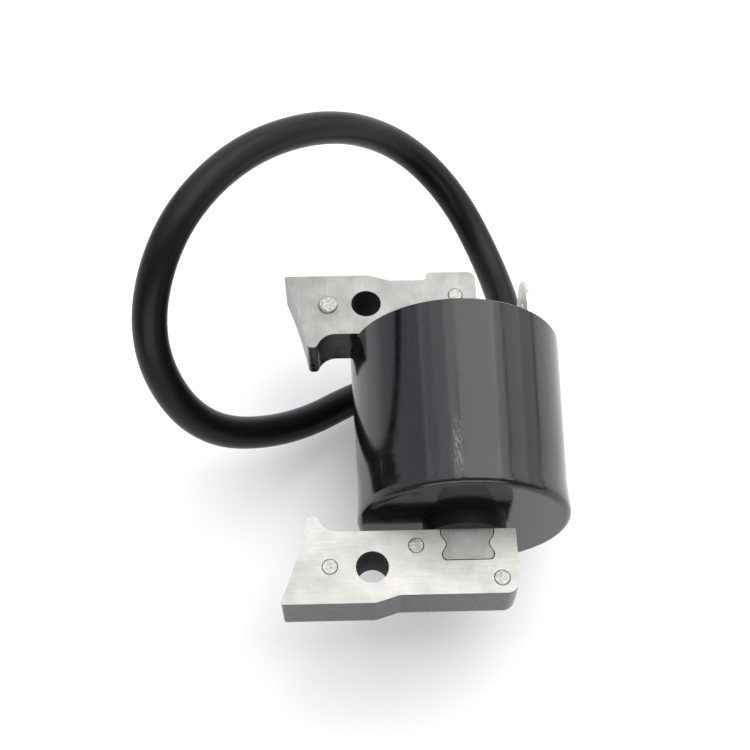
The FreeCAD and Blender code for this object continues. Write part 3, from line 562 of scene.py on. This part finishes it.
def tinned_brass():
    """Tin plate over brass: a soft grey metal, a little yellow where it is rubbed."""
    material, tree, place = new_material("tin_plated_brass")
    rub = noise(tree, place, 500.0, 5.0)
    colour = tint(tree, rub, linear("#b9b5ab"), linear("#e0ddd5"))
    roughness = remap(tree, rub, result=(0.24, 0.40))
    finish_material(tree, {"Base Color": colour, "Metallic": 1.0, "Roughness": roughness})
    return material


tin = tinned_brass()
dress("kill_terminal", tin)
dress("ground_strap", tin)
dress("ht_contact", tin)

# ---------------------------------------------------------------- potting resin
# Black two-part epoxy poured into the cup's open end. It cured glossy, with small bubbles and a
# slightly uneven top.


def potting_epoxy():
    """Cast epoxy: glossy black with slow waves and pinholes."""
    material, tree, place = new_material("cast_black_epoxy")
    waves = noise(tree, place, 180.0, 2.0)
    pits = add_node(
        tree, "ShaderNodeTexVoronoi", {"Vector": place, "Scale": 420.0}
    ).outputs["Distance"]
    pinhole = remap(tree, pits, source=(0.05, 0.16))
    height = blend(tree, 0.35, waves, pinhole)
    roughness = remap(tree, waves, result=(0.10, 0.30))
    bump = bumps(tree, height, 0.5, 0.0003)
    finish_material(
        tree,
        {"Base Color": linear("#121112"), "Roughness": roughness, "IOR": 1.55, "Normal": bump},
    )
    return material


dress("potting_resin", potting_epoxy())

# ---------------------------------------------------------------- studio
# A white table under large soft boxes hung round the cup's axis, with narrow gaps between them
# that draw dark lines down the gloss.

FLOOR_Z = -0.0256
TABLE_SIZE = 8.0


def table_white():
    """Matt white laminate with a barely visible texture."""
    material, tree, place = new_material("matt_white_laminate")
    grain = noise(tree, place, 30.0, 3.0)
    colour = tint(tree, grain, linear("#f2f2f2"), linear("#f6f6f6"))
    finish_material(tree, {"Base Color": colour, "Roughness": 0.8})
    return material


bpy.ops.object.select_all(action="DESELECT")
bpy.ops.mesh.primitive_plane_add(size=TABLE_SIZE, location=(0, 0, FLOOR_Z))
table = bpy.context.active_object
table.name = "studio_table"
table.data.materials.append(table_white())

LIGHT_TARGET = Vector((0.010, 0.0, 0.005))
LIGHT_DISTANCE = 0.9
LIGHT_RISE = 0.30
LIGHT_HEIGHT = 0.95


def add_softbox(name, start, stop, radiance, colour):
    """A soft box that fills the angles from start to stop round the cup's axis, from upright."""
    middle = math.radians((start + stop) / 2)
    ring = math.sqrt(1 - LIGHT_RISE**2)
    outward = Vector((ring * math.sin(middle), LIGHT_RISE, ring * math.cos(middle)))
    width = 2 * ring * LIGHT_DISTANCE * math.tan(math.radians((stop - start) / 2))
    data = bpy.data.lights.new(name, "AREA")
    data.shape = "RECTANGLE"
    data.size = width
    data.size_y = LIGHT_HEIGHT
    data.energy = math.pi * width * LIGHT_HEIGHT * radiance
    data.color = linear(colour)[:3]
    item = bpy.data.objects.new(name, data)
    scene.collection.objects.link(item)
    across = Vector((math.cos(middle), 0, -math.sin(middle)))
    up = outward.cross(across)
    turn = Matrix((across, up, outward)).transposed()
    item.matrix_world = Matrix.Translation(LIGHT_TARGET + outward * LIGHT_DISTANCE) @ turn.to_4x4()
    item.visible_camera = False


softboxes = [
    ("softbox_left", -130, -40, 0.60, "#eff1ff"),
    ("softbox_upper_left", -40, -26, 1.05, "#f2f4ff"),
    ("softbox_top_left", -26, -12, 1.4, "#f5f6ff"),
    ("softbox_top", -12, -3.5, 2.2, "#fbfbff"),
    ("softbox_key", -1.5, 38, 2.9, "#ffffff"),
    ("softbox_key_edge", 38, 49, 2.1, "#ffffff"),
    ("softbox_upper_right", 52, 70, 1.5, "#ffffff"),
    ("softbox_right", 70, 88, 0.95, "#ffffff"),
]
for softbox in softboxes:
    add_softbox(*softbox)

FILL_WIDTH = 1.6
FILL_HEIGHT = 0.7


def add_fill(name, place, radiance):
    """A low soft box that lights the table up to the object's foot."""
    data = bpy.data.lights.new(name, "AREA")
    data.shape = "RECTANGLE"
    data.size = FILL_WIDTH
    data.size_y = FILL_HEIGHT
    data.energy = math.pi * FILL_WIDTH * FILL_HEIGHT * radiance
    item = bpy.data.objects.new(name, data)
    scene.collection.objects.link(item)
    turn = Vector(place).to_track_quat("Z", "Y").to_matrix().to_4x4()
    item.matrix_world = Matrix.Translation(place) @ turn
    item.visible_camera = False


add_fill("softbox_front", (0.0, -1.25, 0.55), 2.2)
add_fill("softbox_back", (0.0, 1.25, 0.50), 1.6)

world = bpy.data.worlds.new("studio_room")
world.use_nodes = True
room = world.node_tree.nodes["Background"]
room.inputs["Color"].default_value = linear("#f7f7fa")
room.inputs["Strength"].default_value = 0.42
scene.world = world
scene.view_settings.view_transform = "Standard"
